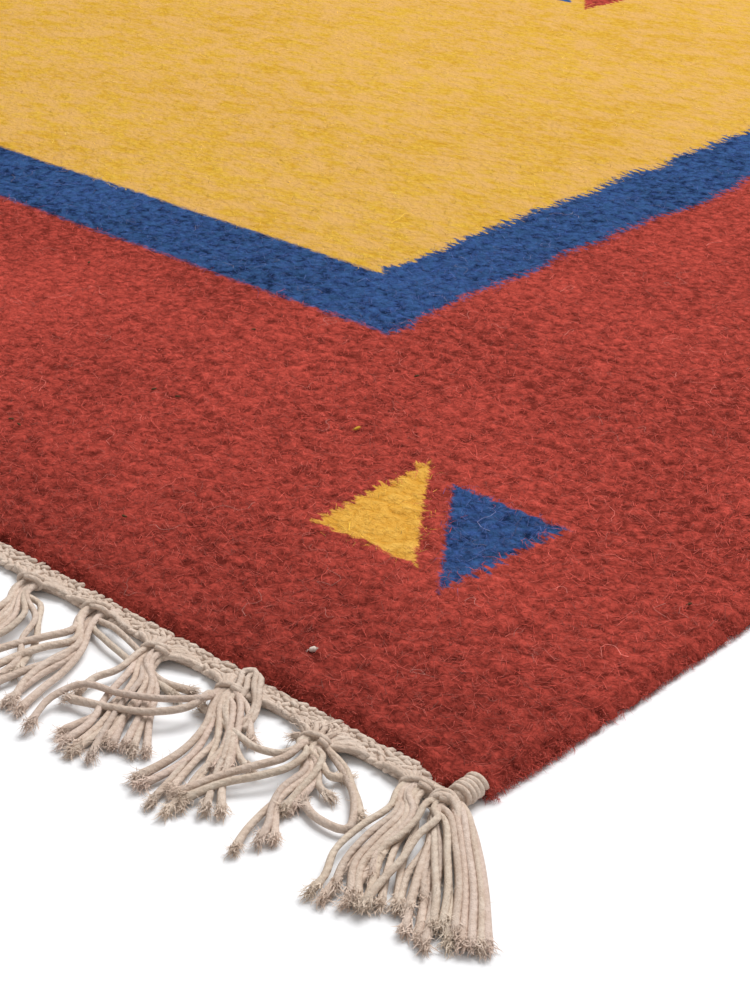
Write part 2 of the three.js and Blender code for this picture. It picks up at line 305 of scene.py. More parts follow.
class Gathered:
    """Collects the points and faces of many small shapes and joins them into one mesh."""

    def __init__(self):
        self.points = []
        self.faces = []
        self.tones = []
        self.yarns = []
        self.count = 0

    def add(self, points, faces, tone, yarn=0.0):
        """points is (n, 3) and faces a list of index arrays. tone is one colour or one for each point, and
        yarn is the way along a strand with the cosine and sine of the way round it."""
        points = np.asarray(points, float).reshape(-1, 3)
        yarn = np.asarray(yarn, float)
        self.yarns.append(np.broadcast_to(yarn.reshape(-1, 3) if yarn.ndim else yarn, points.shape))
        self.points.append(points)
        self.faces.extend(np.asarray(f) + self.count for f in faces)
        self.tones.append(np.broadcast_to(np.asarray(tone, float), points.shape))
        self.count += len(points)

    def to_piece(self, name, material, half_turn=False):
        points = np.concatenate(self.points)
        if half_turn:
            points = points * (-1.0, -1.0, 1.0)
        loops = np.concatenate([f.ravel() for f in self.faces]).astype(np.int32)
        totals = np.concatenate([np.full(len(f), f.shape[1]) for f in self.faces]).astype(np.int32)
        starts = np.concatenate([[0], np.cumsum(totals)[:-1]]).astype(np.int32)
        mesh = bpy.data.meshes.new(name)
        mesh.vertices.add(len(points))
        mesh.vertices.foreach_set("co", (points * MM).ravel())
        mesh.loops.add(len(loops))
        mesh.loops.foreach_set("vertex_index", loops)
        mesh.polygons.add(len(totals))
        mesh.polygons.foreach_set("loop_start", starts)
        mesh.polygons.foreach_set("loop_total", totals)
        mesh.update(calc_edges=True)
        mesh.polygons.foreach_set("use_smooth", np.ones(len(totals), bool))
        tones = np.concatenate(self.tones)
        tones = np.concatenate([tones, np.ones((len(tones), 1))], axis=1)
        mesh.attributes.new("tone", "FLOAT_COLOR", "POINT").data.foreach_set("color", tones.ravel())
        yarns = np.concatenate(self.yarns)
        mesh.attributes.new("yarn", "FLOAT_VECTOR", "POINT").data.foreach_set("vector", yarns.ravel())
        low = points[:, :2].min(axis=0)
        span = (points[:, :2].max(axis=0) - low).max()
        plan = (points[loops, :2] - low) / span
        mesh.uv_layers.new(name="OFBake").data.foreach_set("uv", plan.ravel())
        return as_piece(mesh, name, material)


def as_piece(mesh, name, material):
    piece = bpy.data.objects.new(name, mesh)
    bpy.context.scene.collection.objects.link(piece)
    mesh.materials.append(material)
    return piece


def settle(piece, slot, *nodes):
    """The piece rides on the rug's one body and stands for CAD nodes, which it hides. The slot is not used.
    """
    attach(piece, BODY)
    if nodes:
        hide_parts(*nodes)


class NodeSketch:
    """Short ways to add nodes to a new material and join them."""

    def __init__(self, name):
        self.material = bpy.data.materials.new(name)
        self.material.use_nodes = True
        self.tree = self.material.node_tree
        self.tree.nodes.clear()
        self.output = self.tree.nodes.new("ShaderNodeOutputMaterial")
        self.shader = self.tree.nodes.new("ShaderNodeBsdfPrincipled")
        self.tree.links.new(self.shader.outputs["BSDF"], self.output.inputs["Surface"])

    def feed(self, socket, value):
        if isinstance(value, bpy.types.NodeSocket):
            self.tree.links.new(value, socket)
        else:
            socket.default_value = value

    def node(self, kind, values=(), **settings):
        made = self.tree.nodes.new(kind)
        for name, value in settings.items():
            setattr(made, name, value)
        for socket, value in zip(made.inputs, values):
            if value is not None:
                self.feed(socket, value)
        return made

    def calc(self, operation, *values):
        return self.node("ShaderNodeMath", values, operation=operation).outputs[0]

    def millimetres(self):
        place = self.node("ShaderNodeTexCoord").outputs["Object"]
        scaled = self.node("ShaderNodeVectorMath", operation="SCALE")
        self.feed(scaled.inputs[0], place)
        scaled.inputs["Scale"].default_value = 1.0 / MM
        return scaled.outputs[0]

    def stretched(self, vector, scale):
        return self.node("ShaderNodeVectorMath", (vector, scale), operation="MULTIPLY").outputs[0]

    def noise(self, vector, scale, detail=2.0, roughness=0.5, distortion=0.0, output="Fac"):
        made = self.node("ShaderNodeTexNoise")
        for name, value in (("Vector", vector), ("Scale", scale), ("Detail", detail),
                            ("Roughness", roughness), ("Distortion", distortion)):
            self.feed(made.inputs[name], value)
        return made.outputs[output]

    def span(self, value, low, high, to_low=0.0, to_high=1.0, soft=True):
        """The value from low to high, mapped to another span and held at its ends."""
        kind = "SMOOTHSTEP" if soft else "LINEAR"
        made = self.node("ShaderNodeMapRange", (value, low, high, to_low, to_high), interpolation_type=kind)
        return made.outputs[0]

    def blend(self, factor, first, second):
        made = self.node("ShaderNodeMix", data_type="RGBA")
        self.feed(made.inputs["Factor"], factor)
        self.feed(made.inputs["A"], first)
        self.feed(made.inputs["B"], second)
        return made.outputs["Result"]

    def matt(self, colour):
        """A surface of this colour without any gloss."""
        self.feed(self.shader.inputs["Base Color"], colour)
        self.shader.inputs["Roughness"].default_value = 1.0
        self.shader.inputs["Specular IOR Level"].default_value = 0.0

    def bump(self, height, distance, strength):
        made = self.node("ShaderNodeBump")
        made.inputs["Strength"].default_value = strength
        made.inputs["Distance"].default_value = distance * MM
        self.feed(made.inputs["Height"], height)
        self.feed(self.shader.inputs["Normal"], made.outputs["Normal"])


def rgba(colour, scale=1.0):
    return (*(min(1.0, c * scale) for c in colour), 1.0)


# The split square: two triangles with a slanting gap. Corners from the selvedge and from the end of the
# rug; the side from the first corner to the second runs along the warp and is toothed.
LEFT_TRIANGLE = ((130.2, 72.4), (131.0, 127.0), (90.4, 73.4))
RIGHT_TRIANGLE = ((76.0, 67.8), (71.9, 121.8), (115.7, 121.0))
FIELD_SHIFT = (386.1, 581.8)
TOOTH_PITCH = 4.6
# How the yellow wool shifts from its darker to its lighter tone: partly its own uneven colour, partly
# painted shade in its hollows and painted light on its tufts.
DEEP = (0.88, 0.79, 0.6)
LIGHT = (1.13, 1.22, 1.45)


def inner_sides(corners):
    """For each side of a triangle a point on it and its unit normal towards the inside."""
    middle = np.mean(corners, axis=0)
    sides = []
    for k in range(3):
        start, stop = np.array(corners[k]), np.array(corners[(k + 1) % 3])
        normal = unit(np.array([start[1] - stop[1], stop[0] - start[0]]))
        if np.dot(normal, middle - start) < 0:
            normal = -normal
        sides.append((start, normal))
    return sides


def triangle_depth(sketch, corners, across, along, tooth):
    """How deep a place lies inside a woven triangle."""
    depth = None
    for start, normal in inner_sides(corners):
        level = sketch.calc("MULTIPLY_ADD", across, float(normal[0]), -float(np.dot(normal, start)))
        level = sketch.calc("MULTIPLY_ADD", along, float(normal[1]), level)
        if depth is None:
            depth = sketch.calc("ADD", level, tooth)
        else:
            depth = sketch.calc("MINIMUM", depth, level)
    return depth


def wool_material(sizes, colours):
    """Felted weft-faced wool: the woven pattern, its teeth along the warp, and clumps of fibre."""
    sketch = NodeSketch("felted_wool")
    place = sketch.millimetres()
    parts = sketch.node("ShaderNodeSeparateXYZ", (place,)).outputs
    slow = sketch.noise(place, 0.012, 2.0)
    clump = sketch.noise(sketch.stretched(place, (0.19, 0.21, 0.2)), 1.0, 3.0, 0.6, 0.6)
    grain = sketch.noise(sketch.stretched(place, (0.8, 0.9, 0.9)), 1.0, 2.0, 0.65, 0.6)
    fray = sketch.noise(sketch.stretched(place, (0.22, 0.62, 0.4)), 1.0, 3.0, 0.7)
    wander = sketch.noise(place, 0.028, 1.0)
    shake = sketch.noise(place, 0.4, output="Color")
    shaken = sketch.node("ShaderNodeVectorMath", (shake, (4.0, 4.0, 2.0), place), operation="MULTIPLY_ADD")
    bent = shaken.outputs[0]
    tuft = sketch.node("ShaderNodeTexVoronoi", feature="F1")
    sketch.feed(tuft.inputs["Vector"], sketch.stretched(bent, (0.33, 0.36, 0.33)))
    tuft.inputs["Scale"].default_value = 1.0
    crevice = tuft.outputs["Distance"]
    own = sketch.node("ShaderNodeSeparateColor", (tuft.outputs["Color"],)).outputs[0]

    def teeth(reach):
        """Ends of weft that reach past the edge, every other pick, none quite like the next."""
        uneven = sketch.calc("MULTIPLY_ADD", fray, 3.5, sketch.calc("MULTIPLY_ADD", wander, 18.0, parts[1]))
        phase = sketch.calc("FRACT", sketch.calc("MULTIPLY", uneven, 1.0 / TOOTH_PITCH))
        rise = sketch.calc("ABSOLUTE", sketch.calc("MULTIPLY_ADD", phase, 2.0, -1.0))
        size = sketch.noise(sketch.stretched(place, (0.02, 0.13, 0.0)), 1.0, 1.0)
        return sketch.calc("MULTIPLY", rise, sketch.span(size, 0.3, 0.7, 0.3 * reach, 1.3 * reach))

    def warm(amount, colour):
        return sketch.blend(amount, rgba(np.multiply(colour, DEEP)), rgba(np.multiply(colour, LIGHT)))

    ragged = sketch.calc("MULTIPLY_ADD", fray, 13.0, -6.5)
    soft = sketch.calc("MULTIPLY_ADD", fray, 6.0, -3.0)
    drift = sketch.calc("MULTIPLY_ADD", wander, 15.0, -7.5)
    across = sketch.calc("SUBTRACT", in_mm(sizes.width) / 2, sketch.calc("ABSOLUTE", parts[0]))
    along = sketch.calc("SUBTRACT", in_mm(sizes.length) / 2, sketch.calc("ABSOLUTE", parts[1]))
    across = sketch.calc("ADD", across, ragged)
    along = sketch.calc("ADD", along, soft)
    drifted = sketch.calc("ADD", across, drift)

    side, end, band = in_mm(sizes.side_border), in_mm(sizes.end_border), in_mm(sizes.frame_width)
    tooth = teeth(3.9)
    outer_side = sketch.calc("MULTIPLY_ADD", ragged, 0.9, sketch.calc("SUBTRACT", drifted, side))
    outer_end = sketch.calc("MULTIPLY_ADD", soft, 0.8, sketch.calc("SUBTRACT", along, end))
    outer = sketch.calc("MINIMUM", outer_side, outer_end)
    inner_side = sketch.calc("SUBTRACT", drifted, sketch.calc("ADD", tooth, side + band - 2.5))
    inner_side = sketch.calc("MULTIPLY_ADD", ragged, 0.55, inner_side)
    inner = sketch.calc("MINIMUM", inner_side, sketch.calc("SUBTRACT", along, end + band))
    far_across = sketch.calc("SUBTRACT", across, FIELD_SHIFT[0])
    far_along = sketch.calc("SUBTRACT", along, FIELD_SHIFT[1])

    # The tone is partly the wool's own uneven colour (each tuft's own tone and a slow drift) and partly
    # painted shade and light: it shares its clumps, grain and crevices with the bump, so hollows and the
    # gaps between tufts are darker and raised tufts lighter.
    tone = sketch.calc("MULTIPLY_ADD", crevice, -0.65, sketch.calc("MULTIPLY_ADD", own, 0.28, 0.63))
    tone = sketch.calc("MULTIPLY_ADD", clump, 0.9, sketch.calc("ADD", tone, -0.45))
    tone = sketch.calc("MULTIPLY_ADD", grain, 1.3, sketch.calc("ADD", tone, -0.65))
    tone = sketch.calc("MULTIPLY_ADD", slow, 0.7, sketch.calc("ADD", tone, -0.35))
    # Painted light on the raised clumps of the mesh and painted shade in its hollows.
    raised = sketch.node("ShaderNodeAttribute", attribute_name="clump").outputs["Fac"]
    tone = sketch.calc("MULTIPLY_ADD", raised, 0.1, tone)
    tone = sketch.span(tone, 0.0, 1.0, soft=False)
    calm = sketch.span(sketch.calc("MULTIPLY_ADD", grain, -0.8, tone), -0.4, 0.6, soft=False)
    # Painted shade: the wool grows darker over its last 100 mm towards each end.
    painted_end_shade = sketch.span(along, 0.0, 100.0, 0.24, 0.0)
    hue = sketch.span(clump, 0.35, 0.65)
    # Each dye below runs from a darker to a lighter copy by the tone, so it carries that painted shade and
    # light.
    red = sketch.blend(tone, rgba(colours.red, 0.42), rgba(colours.red, 1.5))
    blue = sketch.blend(tone, rgba(colours.blue, 0.28), rgba(colours.blue, 1.66))
    blue = sketch.blend(sketch.calc("MULTIPLY", hue, 0.45), blue, rgba(colours.blue_patch))
    yellow = warm(calm, colours.yellow)
    mottle = sketch.noise(sketch.stretched(place, (0.07, 0.12, 0.1)), 1.0, 4.0, 0.7)
    yellow = sketch.blend(sketch.span(mottle, 0.36, 0.64, 0.0, 0.9), yellow, rgba(colours.yellow_patch))
    golden = warm(tone, colours.golden)
    colour = red
    for depth, dye, blur in (
        (outer, blue, 2.0),
        (inner, yellow, 1.4),
        (triangle_depth(sketch, LEFT_TRIANGLE, across, along, tooth), golden, 0.8),
        (triangle_depth(sketch, RIGHT_TRIANGLE, across, along, tooth), blue, 0.9),
        (triangle_depth(sketch, LEFT_TRIANGLE, far_across, far_along, tooth), blue, 0.9),
        (triangle_depth(sketch, RIGHT_TRIANGLE, far_across, far_along, tooth), red, 0.9),
    ):
        colour = sketch.blend(sketch.span(depth, -blur, blur), colour, dye)
    # The painted shade towards each end darkens the colour here.
    colour = sketch.blend(painted_end_shade, colour, rgba((0.02, 0.004, 0.004)))
    sketch.matt(colour)
    height = sketch.calc("MULTIPLY_ADD", grain, 0.45, sketch.calc("MULTIPLY", clump, 0.8))
    height = sketch.calc("MULTIPLY_ADD", crevice, -0.6, height)
    sketch.bump(height, 3.0, 0.55)
    return sketch.material


def fibre_material():
    """Loose wool fibres, each of its own tone."""
    sketch = NodeSketch("wool_fibre")
    tone = sketch.node("ShaderNodeAttribute", attribute_name="tone").outputs["Color"]
    place = sketch.millimetres()
    shade = sketch.span(sketch.noise(place, 0.5, 2.0), 0.3, 0.7, 0.0, 0.3)
    sketch.matt(sketch.blend(shade, tone, (0.05, 0.02, 0.02, 1.0)))
    return sketch.material


def cotton_material(colours):
    """Undyed cotton yarn: the tone of each strand, faint mottling, wound plies and fine fibre relief."""
    sketch = NodeSketch("cotton_yarn")
    tone = sketch.node("ShaderNodeAttribute", attribute_name="tone").outputs["Color"]
    yarn = sketch.node("ShaderNodeAttribute", attribute_name="yarn").outputs["Vector"]
    run, beside, above = sketch.node("ShaderNodeSeparateXYZ", (yarn,)).outputs
    winding = sketch.calc("MULTIPLY", sketch.calc("ARCTAN2", above, beside), 3.0)
    plies = sketch.calc("SINE", sketch.calc("MULTIPLY_ADD", run, TURN / 2.7, winding))
    place = sketch.millimetres()
    patch = sketch.noise(place, 0.22, 3.0, 0.6)
    fine = sketch.noise(place, 1.5, 3.0, 0.7)
    # The stain mask is partly real stains and partly painted shade: it shares the fine noise and the plies
    # with the bump, so low places of the relief and the ply grooves take a little more of the stain colour.
    shade = sketch.calc("MULTIPLY_ADD", patch, 0.5, sketch.calc("MULTIPLY_ADD", fine, 0.5, -0.25))
    shade = sketch.calc("MULTIPLY_ADD", plies, 0.02, shade)
    stain_and_relief_shade = sketch.blend(sketch.span(shade, 0.1, 0.42, 0.5, 0.0), tone, rgba(colours.stain))
    sketch.matt(stain_and_relief_shade)
    sketch.bump(sketch.calc("MULTIPLY_ADD", plies, 0.11, fine), 0.7, 0.7)
    return sketch.material


def smooth_path(points, count):
    """A smooth curve through a few points, cut into even steps."""
    points = np.asarray(points, float)
    chord = np.linalg.norm(np.diff(points, axis=0), axis=1)
    at = np.concatenate([[0.0], np.cumsum(chord)])
    slopes = np.gradient(points, at, axis=0)
    fine = np.linspace(0.0, at[-1], count * 4)
    k = np.clip(np.searchsorted(at, fine, side="right") - 1, 0, len(chord) - 1)
    h = chord[k][:, None]
    t = ((fine - at[k]) / chord[k])[:, None]
    curve = (1 + 2 * t) * (1 - t) ** 2 * points[k] + t * (1 - t) ** 2 * h * slopes[k]
    curve += t * t * (3 - 2 * t) * points[k + 1] + t * t * (t - 1) * h * slopes[k + 1]
    length = np.concatenate([[0.0], np.cumsum(np.linalg.norm(np.diff(curve, axis=0), axis=1))])
    even = np.linspace(0.0, length[-1], count)
    return np.stack([np.interp(even, length, curve[:, axis]) for axis in range(3)], axis=1)


def above_floor(paths, least):
    """The same paths with no point below a height."""
    paths[..., 2] = np.maximum(paths[..., 2], least)
    return paths


def ring_quads(steps, around):
    """The faces between the rings of a tube."""
    row = np.arange(steps - 1)[:, None] * around
    one = np.arange(around)[None, :]
    two = (one + 1) % around
    return np.stack([row + one, row + two, row + two + around, row + one + around], axis=-1).reshape(-1, 4)


def add_tube(gathered, path, radius, tone, sides=6, reference=UP):
    """A closed tube along a path."""
    steps = len(path)
    tangent = unit(np.gradient(path, axis=0))
    aside = unit(np.cross(tangent, reference))
    above = np.cross(aside, tangent)
    around = TURN * np.arange(sides) / sides
    run = np.concatenate([[0.0], np.cumsum(np.linalg.norm(np.diff(path, axis=0), axis=1))])
    ring = np.cos(around)[None, :, None] * aside[:, None] + np.sin(around)[None, :, None] * above[:, None]
    points = path[:, None] + np.broadcast_to(radius, steps)[:, None, None] * ring
    yarn = np.stack(np.broadcast_arrays(run[:, None], np.cos(around), np.sin(around)), axis=-1)
    start = np.arange(sides)[::-1][None, :]
    finish = ((steps - 1) * sides + np.arange(sides))[None, :]
    gathered.add(points, [ring_quads(steps, sides), start, finish], tone, yarn)


def add_ribbons(gathered, paths, widths, tones):
    """Many tapered ribbons at once: paths is (n, m, 3), widths (n), tones (n, 3)."""
    count, steps, _ = paths.shape
    tangent = unit(np.gradient(paths, axis=1))
    aside = unit(np.cross(tangent, UP) + 1e-6)
    taper = np.linspace(1.0, 0.55, steps - 1)
    half = 0.5 * widths[:, None, None] * taper[None, :, None] * aside[:, :-1]
    left = paths[:, :-1] + half
    right = paths[:, :-1] - half
    points = np.concatenate([np.stack([left, right], axis=2).reshape(count, -1, 3), paths[:, -1:]], axis=1)
    each = 2 * (steps - 1) + 1
    first = (np.arange(count) * each)[:, None]
    faces = []
    for k in range(steps - 2):
        faces.append(first + np.array([[2 * k, 2 * k + 1, 2 * k + 3, 2 * k + 2]]))
    faces.append(first + np.array([[each - 3, each - 2, each - 1]]))
    gathered.add(points, faces, np.repeat(tones[:, None], each, axis=1).reshape(-1, 3))


GROUND_CELL = 9.0
FINE_CELL = 2.2
FINE_SPAN = 330.0  # the finely meshed square beside the seen corner
RIM_STEPS = 6
RIM_WIDTH = 3.6
FELT_SEED = 5
FELT_WAVES = 16
FELT_HEIGHT = 0.34  # root mean square
FELT_FADE = 110.0
SHIFT_POWER = 60  # the waves of the edges die out quickly towards the middle
# The plan of the mesh: how far the rim unrolls, the margin, and the underside laid beside the top.
RIM_UNROLL = 1.6
PLAN_MARGIN = 20.0
UNDER_SCALE = 0.28 / 0.72
UNDER_START = 0.74


def felt(x, y):
    """Clumps of felted wool as a random field, faded out where the mesh is too coarse to carry them."""
    rng = np.random.default_rng(FELT_SEED)
    total = np.zeros_like(x)
    for _ in range(FELT_WAVES):
        heading, phase = rng.uniform(0.0, TURN, 2)
        length = rng.uniform(5.5, 11.0)
        total = total + np.sin(TURN / length * (x * math.cos(heading) + y * math.sin(heading)) + phase)
    reach = np.maximum(SEEN_CORNER[0] - x, y - SEEN_CORNER[1])
    fade = np.clip((FINE_SPAN - reach) / FELT_FADE, 0.0, 1.0)
    return total / math.sqrt(FELT_WAVES / 2.0) * fade


def relief(x, y, half_width):
    """The unevenness of the cloth's upper side, with a fuller roll along the selvedges."""
    waves = 0.16 * np.sin(x / 17.0 + 1.3 * np.sin(y / 41.0)) * np.sin(y / 13.0 + 0.9 * np.sin(x / 37.0))
    waves += 0.13 * np.sin(x / 7.3 + 2.0 * np.sin(y / 23.0)) * np.sin(y / 6.1 + 1.7 * np.sin(x / 19.0))
    roll = hump(half_width - np.abs(x) - 6.0, 0.5, 5.0)
    return waves + roll + FELT_HEIGHT * felt(x, y)


def grid_lines(half, seen_side):
    """Where the lines of the ground's mesh lie across one direction, close together on the seen side."""
    fine = np.linspace(half - FINE_SPAN, half, round(FINE_SPAN / FINE_CELL) + 1)
    coarse = np.linspace(-half, half - FINE_SPAN, round((2.0 * half - FINE_SPAN) / GROUND_CELL) + 1)
    lines = np.concatenate([coarse[:-1], fine])
    return lines if seen_side > 0 else -lines[::-1]


class KILIM_OT_ground(bpy.types.Operator):
    """Weaves the wool ground: one closed sheet with rounded edges"""

    bl_idname = "kilim.ground"
    bl_label = "Woven ground"

    def execute(self, context):
        sizes = context.scene.kilim.sizes
        half_width, half_length = in_mm(sizes.width) / 2, in_mm(sizes.length) / 2
        inner = [half - RIM_WIDTH for half in (half_width, half_length)]
        lines = [grid_lines(inner[0], 1.0), grid_lines(inner[1], -1.0)]
        cells = [len(line) - 1 for line in lines]
        counts = [c + 2 * RIM_STEPS for c in cells]
        mesh = bpy.data.meshes.new("woven_ground")
        bm = bmesh.new()
        bmesh.ops.create_grid(bm, x_segments=counts[0], y_segments=counts[1], size=0.5)
        bm.to_mesh(mesh)
        bm.free()
        flat = np.empty(len(mesh.vertices) * 3)
        mesh.vertices.foreach_get("co", flat)
        flat = flat.reshape(-1, 3)
        step = [np.rint((flat[:, a] + 0.5) * counts[a]) - RIM_STEPS for a in range(2)]
        held = [np.clip(step[a], 0, cells[a]) for a in range(2)]
        over = np.stack([step[a] - held[a] for a in range(2)], axis=1)
        ring = np.abs(over).max(axis=1)
        outward = over / np.maximum(np.linalg.norm(over, axis=1), 1e-9)[:, None]
        x, y = (lines[a][held[a].astype(int)] for a in range(2))
        pull = draw_in(half_length - np.abs(y))
        side_shift = np.where(x > 0, stray(SIDE_WAVES, y) - pull, pull - stray(SIDE_WAVES, -y))
        side_shift = side_shift * np.abs(x / inner[0]) ** SHIFT_POWER
        end_shift = np.where(y > 0, stray(END_WAVES, -x) + tongue(x), -stray(END_WAVES, x) - tongue(x))
        end_shift = end_shift * np.abs(y / inner[1]) ** SHIFT_POWER
        x, y = x + side_shift, y + end_shift
        top = in_mm(sizes.thickness) + relief(x, y, half_width)
        share = ring / RIM_STEPS
        clumps = felt(x, y)
        bulge = (RIM_WIDTH + 0.55 * clumps) * rim_out(share)
        placed = np.stack([x + bulge * outward[:, 0], y + bulge * outward[:, 1],
                           top * (0.5 + 0.5 * np.cos(math.pi * share))], axis=1)
        mesh.vertices.foreach_set("co", (placed * MM).ravel())
        bm = bmesh.new()
        bm.from_mesh(mesh)
        underside = bmesh.ops.holes_fill(bm, edges=[e for e in bm.edges if e.is_boundary], sides=0)["faces"]
        bmesh.ops.recalc_face_normals(bm, faces=bm.faces)
        plan = bm.loops.layers.uv.new("OFBake")
        spread = (x + RIM_UNROLL * ring * outward[:, 0], y + RIM_UNROLL * ring * outward[:, 1])
        full = 2.0 * (half_length + PLAN_MARGIN)
        hidden = set(underside)
        bm.verts.index_update()
        for face in bm.faces:
            scale, start = (UNDER_SCALE, UNDER_START) if face in hidden else (1.0, 0.0)
            face.smooth = face not in hidden
            for loop in face.loops:
                k = loop.vert.index
                loop[plan].uv = (start + scale * (spread[0][k] + half_width + PLAN_MARGIN) / full,
                                 scale * (spread[1][k] + half_length + PLAN_MARGIN) / full)
        bm.to_mesh(mesh)
        bm.free()
        raised = mesh.attributes.new("clump", "FLOAT", "POINT")
        raised.data.foreach_set("value", np.clip(clumps, -2.0, 2.0))
        ground = as_piece(mesh, "woven_ground", wool_material(sizes, context.scene.kilim.colours))
        settle(ground, "wool", "ground")
        return {"FINISHED"}


def dye_at(sizes, x, y):
    """Which wool lies at a place: 0 red, 1 blue, 2 yellow."""
    across = in_mm(sizes.width) / 2 - np.abs(x)
    along = in_mm(sizes.length) / 2 - np.abs(y)
    inside = np.minimum(across - in_mm(sizes.side_border), along - in_mm(sizes.end_border))
    dye = np.where(inside < 0, 0, np.where(inside < in_mm(sizes.frame_width), 1, 2))
    for corners, shift, woven in (
        (LEFT_TRIANGLE, (0.0, 0.0), 2), (RIGHT_TRIANGLE, (0.0, 0.0), 1),
        (LEFT_TRIANGLE, FIELD_SHIFT, 1), (RIGHT_TRIANGLE, FIELD_SHIFT, 0),
    ):
        place = np.stack([across - shift[0], along - shift[1]], axis=-1)
        depth = np.min([(place - start) @ normal for start, normal in inner_sides(corners)], axis=0)
        dye = np.where(depth > 0, woven, dye)
    return dye


PALE_WOOL = np.array([0.55, 0.42, 0.36])
FIBRE_SHARE = (1.0, 0.9, 0.22)  # of the full number of fibres on red, blue and yellow
NEAR_REACH = 520.0
NEAR_SIDE = 900.0
STRAY_SIDE = 600.0
FIBRE_LEAST = 0.15  # height above the floor
LINT_TONE = np.array([0.74, 0.62, 0.54])
FLECK_TONE = np.array([0.1, 0.06, 0.03])


